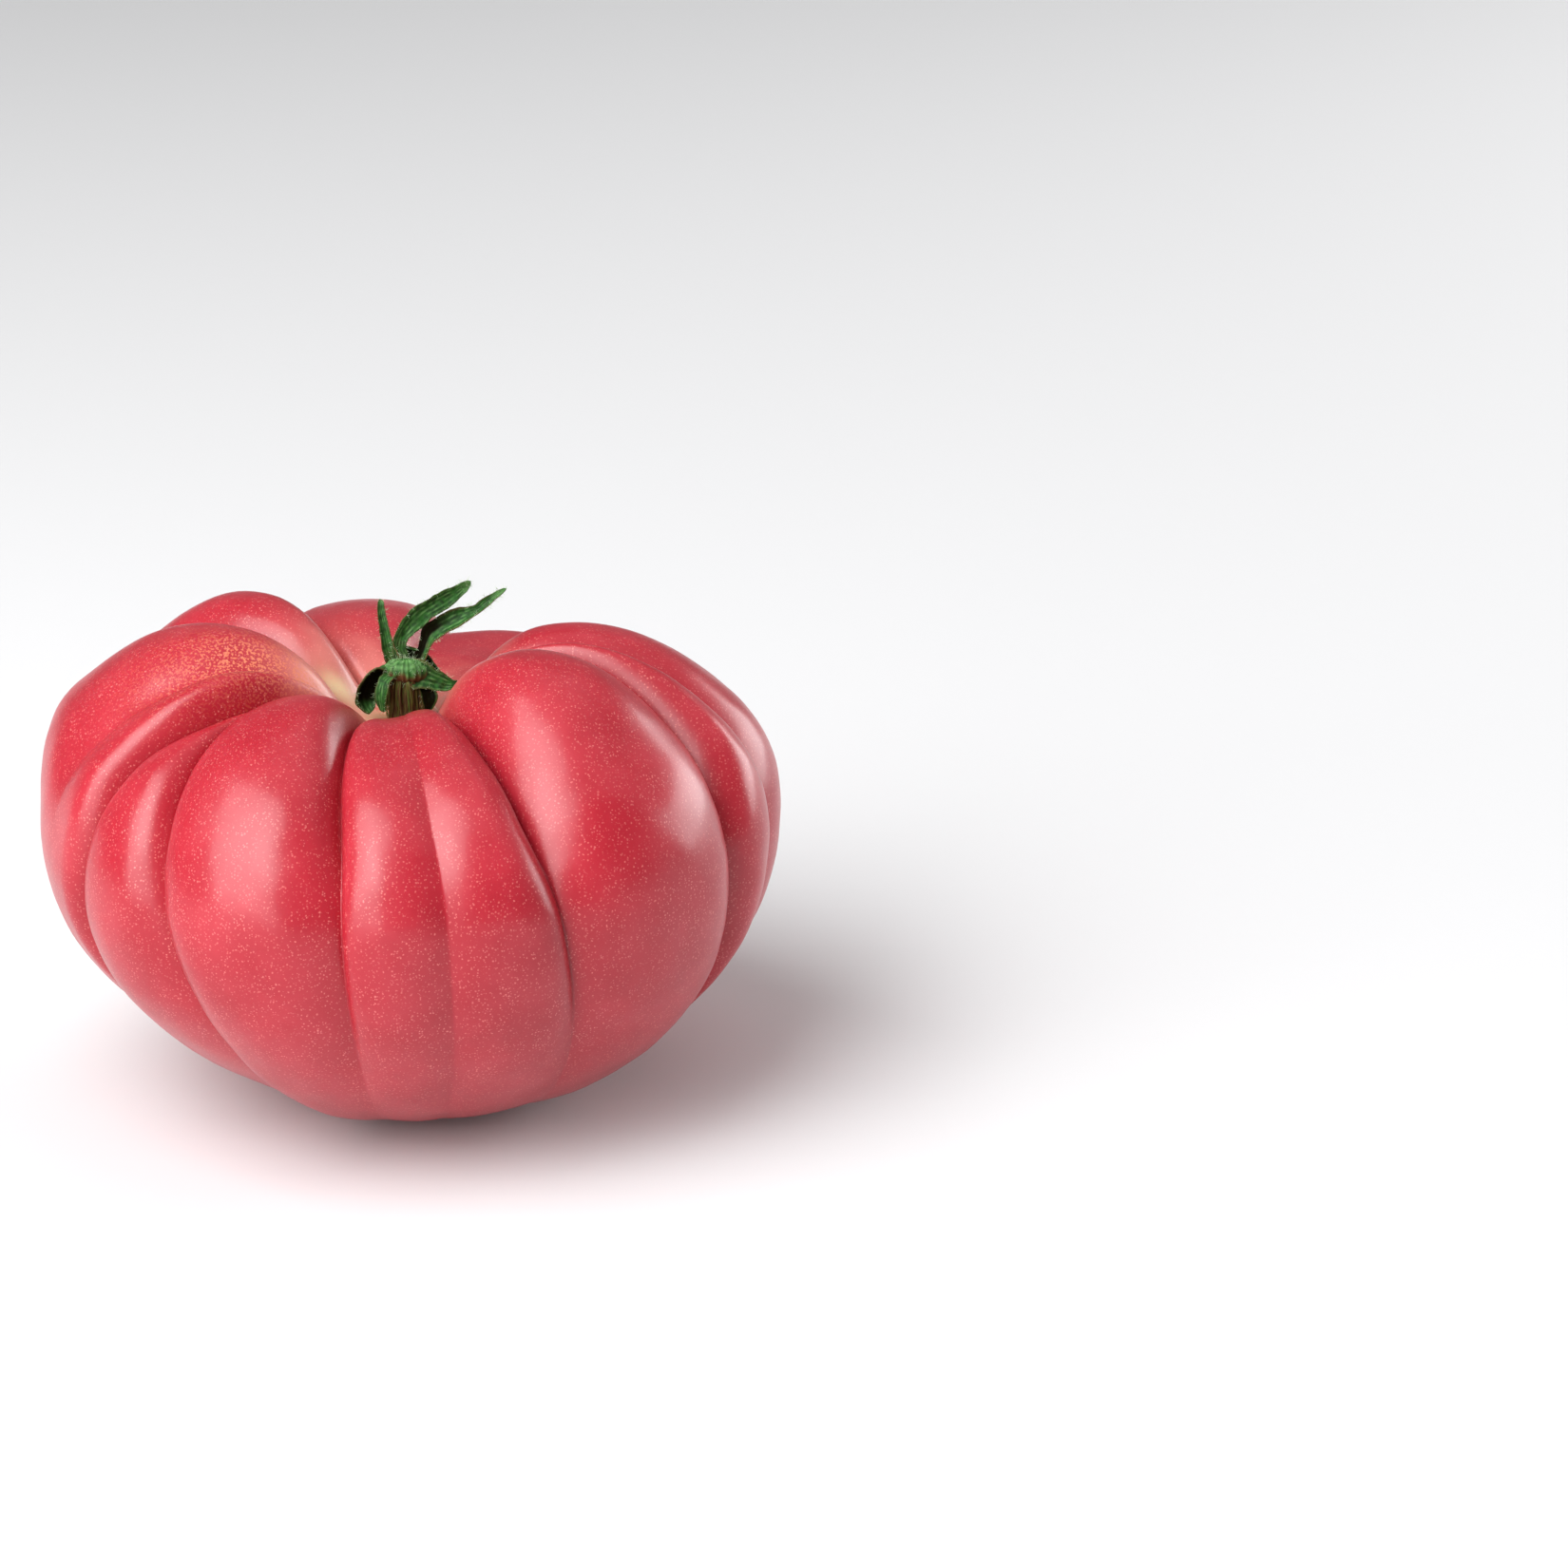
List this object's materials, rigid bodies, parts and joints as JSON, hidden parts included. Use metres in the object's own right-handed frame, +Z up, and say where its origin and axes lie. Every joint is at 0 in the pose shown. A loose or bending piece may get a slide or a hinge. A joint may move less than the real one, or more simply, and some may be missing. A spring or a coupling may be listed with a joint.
{
  "type": "pink tomato",
  "caption": "Ribbed, flattened pink tomato as picked, with a stub of stalk and a green calyx in its stem pit; rests on a small flat spot.",
  "frame": {"origin": "middle of the flat spot on the underside that the tomato rests on", "axes": "+Z up through the stem pit, -Y towards the side with the narrow middle rib, +X to the right of that side"},
  "size_m": [0.098, 0.0985, 0.0689],
  "materials": {
    "skin": "satin ripe skin with fine pale freckles",
    "stalk": "dry fibrous green-brown stalk",
    "calyx": "matt downy green leaf"
  },
  "bodies": {
    "root": {"fruit": "skin", "stalk": "stalk", "calyx": "calyx"}
  },
  "joints": []
}
